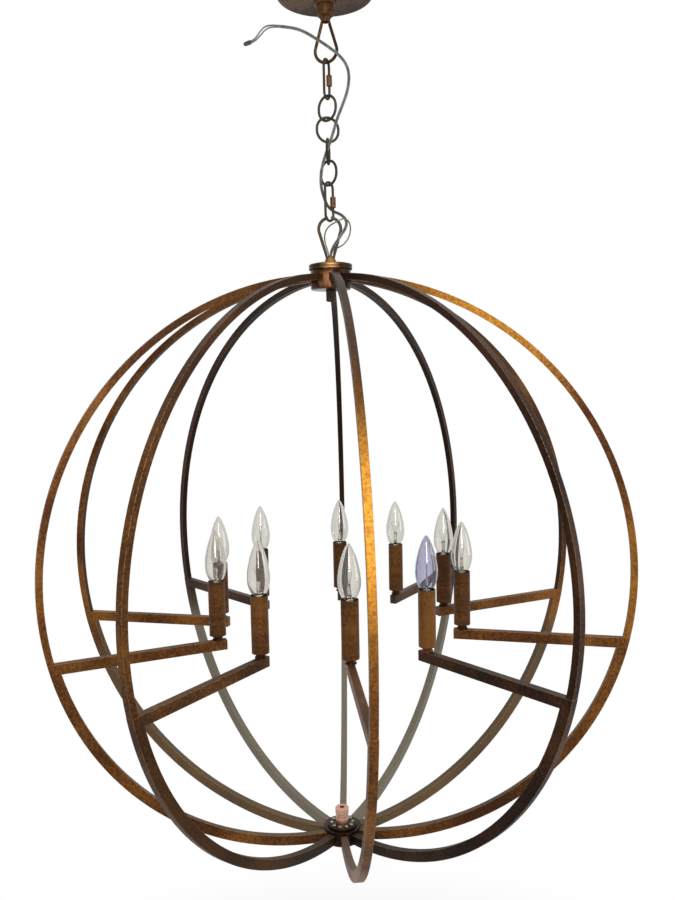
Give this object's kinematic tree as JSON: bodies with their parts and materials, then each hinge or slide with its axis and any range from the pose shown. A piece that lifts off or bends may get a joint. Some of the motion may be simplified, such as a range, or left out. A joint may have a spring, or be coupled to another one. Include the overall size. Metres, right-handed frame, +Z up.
{
  "type": "orb chandelier",
  "caption": "Open orb chandelier: curved ribs between two hubs form a cage whose inward arms carry candle lights, hung from a ceiling canopy by a short chain with its flex.",
  "frame": {"origin": "centre of the crossbar's upper face, in the ceiling plane that the crossbar and the canopy's rim lie against, midway between the outlet box screws", "axes": "+Z up and out of the ceiling plane, along the chain's line; +X to the right in the picture, along the crossbar; +Y away from the camera"},
  "size_m": [0.8723, 0.912, 1.3578],
  "materials": {
    "rib_bronze": "antique bronze with worn gold edges",
    "dark_bronze": "dark oil-rubbed bronze with copper showing at the edges",
    "copper": "plain copper-coloured metal",
    "bright_screws": "bright plated steel",
    "sleeve_bronze": "bronze-brown with fine bands",
    "canopy_bronze": "dark bronze",
    "zinc_steel": "zinc-plated steel",
    "lampholder_plastic": "black moulded plastic",
    "chain_bronze": "antique bronze wire",
    "link_nut_bronze": "dark bronze nut",
    "bulb_glass": "clear glass with a plated screw cap",
    "flex_sheath": "clear sheath over bright wires",
    "earth_sheath": "clear sheath over a bright wire",
    "tape": "dark insulating tape"
  },
  "bodies": {
    "mount": {"crossbar": "zinc_steel", "threaded_rod": "zinc_steel", "rod_nut": "zinc_steel", "canopy_loop": "canopy_bronze"},
    "canopy": {"canopy": "canopy_bronze"},
    "screw_collar": {"screw_collar": "canopy_bronze"},
    "top_quick_link": {"top_quick_link": "chain_bronze"},
    "top_quick_link_nut": {"top_quick_link_nut": "link_nut_bronze"},
    "chain_link_1": {"chain_link_1": "chain_bronze"},
    "chain_link_2": {"chain_link_2": "chain_bronze"},
    "chain_link_3": {"chain_link_3": "chain_bronze"},
    "chain_link_4": {"chain_link_4": "chain_bronze"},
    "bottom_quick_link": {"bottom_quick_link": "chain_bronze"},
    "bottom_quick_link_nut": {"bottom_quick_link_nut": "link_nut_bronze"},
    "orb": {"hub_loop": "dark_bronze", "hub_cap": "dark_bronze", "top_hub": "dark_bronze", "hub_nut": "dark_bronze", "upper_rib_a": "rib_bronze", "upper_rib_b": "rib_bronze", "upper_rib_c": "rib_bronze", "upper_rib_d": "rib_bronze", "upper_rib_e": "rib_bronze", "upper_rib_f": "rib_bronze", "upper_rib_g": "rib_bronze", "upper_rib_h": "rib_bronze", "upper_rib_i": "rib_bronze", "upper_rib_j": "rib_bronze", "lower_rib_a": "rib_bronze", "lower_rib_b": "rib_bronze", "lower_rib_c": "rib_bronze", "lower_rib_d": "rib_bronze", "lower_rib_e": "rib_bronze", "lower_rib_f": "rib_bronze", "lower_rib_g": "rib_bronze", "lower_rib_h": "rib_bronze", "lower_rib_i": "rib_bronze", "lower_rib_j": "rib_bronze", "bottom_hub": "dark_bronze", "hub_plate": "dark_bronze", "hub_coupling": "copper", "hub_screws": "bright_screws", "candle_collars": "dark_bronze", "candle_sleeves": "sleeve_bronze", "lampholders": "lampholder_plastic", "lampholder_nipples": "zinc_steel", "flex": "flex_sheath", "earth_wire": "earth_sheath", "flex_leads": "flex_sheath", "lead_tape": "tape"},
    "bulb_a": {"bulb_a": "bulb_glass"},
    "bulb_b": {"bulb_b": "bulb_glass"},
    "bulb_c": {"bulb_c": "bulb_glass"},
    "bulb_d": {"bulb_d": "bulb_glass"},
    "bulb_e": {"bulb_e": "bulb_glass"},
    "bulb_f": {"bulb_f": "bulb_glass"},
    "bulb_g": {"bulb_g": "bulb_glass"},
    "bulb_h": {"bulb_h": "bulb_glass"},
    "bulb_i": {"bulb_i": "bulb_glass"},
    "bulb_j": {"bulb_j": "bulb_glass"}
  },
  "joints": [
    {"name": "collar_unscrew", "type": "slide", "parent": "mount", "child": "screw_collar", "axis": [0, 0, -1], "range_m": [0, 0.012]},
    {"name": "canopy_drop", "type": "slide", "parent": "mount", "child": "canopy", "axis": [0, 0, -1], "range_m": [0, 0.012]},
    {"name": "top_quick_link_swing", "type": "hinge", "parent": "mount", "child": "top_quick_link", "pos_m": [0, 0, -0.1231], "axis": [0.9397, -0.342, 0], "range_deg": [-35, 35]},
    {"name": "top_quick_link_nut_turn", "type": "slide", "parent": "top_quick_link", "child": "top_quick_link_nut", "axis": [0, 0, 1], "range_m": [0, 0.011]},
    {"name": "chain_link_1_swing", "type": "hinge", "parent": "top_quick_link", "child": "chain_link_1", "pos_m": [0, 0, -0.1764], "axis": [0.5, 0.866, 0], "range_deg": [-35, 35]},
    {"name": "chain_link_2_swing", "type": "hinge", "parent": "chain_link_1", "child": "chain_link_2", "pos_m": [0, 0, -0.2086], "axis": [0.7071, -0.7071, 0], "range_deg": [-35, 35]},
    {"name": "chain_link_3_swing", "type": "hinge", "parent": "chain_link_2", "child": "chain_link_3", "pos_m": [0, 0, -0.2408], "axis": [0.9781, 0.2079, 0], "range_deg": [-35, 35]},
    {"name": "chain_link_4_swing", "type": "hinge", "parent": "chain_link_3", "child": "chain_link_4", "pos_m": [0, 0, -0.273], "axis": [0.1736, 0.9848, 0], "range_deg": [-35, 35]},
    {"name": "bottom_quick_link_swing", "type": "hinge", "parent": "chain_link_4", "child": "bottom_quick_link", "pos_m": [0, 0, -0.3052], "axis": [0.6428, -0.766, 0], "range_deg": [-35, 35]},
    {"name": "bottom_quick_link_nut_turn", "type": "slide", "parent": "bottom_quick_link", "child": "bottom_quick_link_nut", "axis": [0, 0, 1], "range_m": [0, 0.011]},
    {"name": "orb_swing", "type": "hinge", "parent": "bottom_quick_link", "child": "orb", "pos_m": [0, 0, -0.3589], "axis": [0.7071, 0.7071, 0], "range_deg": [-25, 25], "deforming": ["flex", "earth_wire", "flex_leads", "lead_tape"]},
    {"name": "bulb_a_unscrew", "type": "slide", "parent": "orb", "child": "bulb_a", "axis": [0, 0, 1], "range_m": [0, 0.022]},
    {"name": "bulb_b_unscrew", "type": "slide", "parent": "orb", "child": "bulb_b", "axis": [0, 0, 1], "range_m": [0, 0.022]},
    {"name": "bulb_c_unscrew", "type": "slide", "parent": "orb", "child": "bulb_c", "axis": [0, 0, 1], "range_m": [0, 0.022]},
    {"name": "bulb_d_unscrew", "type": "slide", "parent": "orb", "child": "bulb_d", "axis": [0, 0, 1], "range_m": [0, 0.022]},
    {"name": "bulb_e_unscrew", "type": "slide", "parent": "orb", "child": "bulb_e", "axis": [0, 0, 1], "range_m": [0, 0.022]},
    {"name": "bulb_f_unscrew", "type": "slide", "parent": "orb", "child": "bulb_f", "axis": [0, 0, 1], "range_m": [0, 0.022]},
    {"name": "bulb_g_unscrew", "type": "slide", "parent": "orb", "child": "bulb_g", "axis": [0, 0, 1], "range_m": [0, 0.022]},
    {"name": "bulb_h_unscrew", "type": "slide", "parent": "orb", "child": "bulb_h", "axis": [0, 0, 1], "range_m": [0, 0.022]},
    {"name": "bulb_i_unscrew", "type": "slide", "parent": "orb", "child": "bulb_i", "axis": [0, 0, 1], "range_m": [0, 0.022]},
    {"name": "bulb_j_unscrew", "type": "slide", "parent": "orb", "child": "bulb_j", "axis": [0, 0, 1], "range_m": [0, 0.022]}
  ],
  "couplings": [
    {"joint": "canopy_drop", "follows": "collar_unscrew", "ratio": 1}
  ]
}
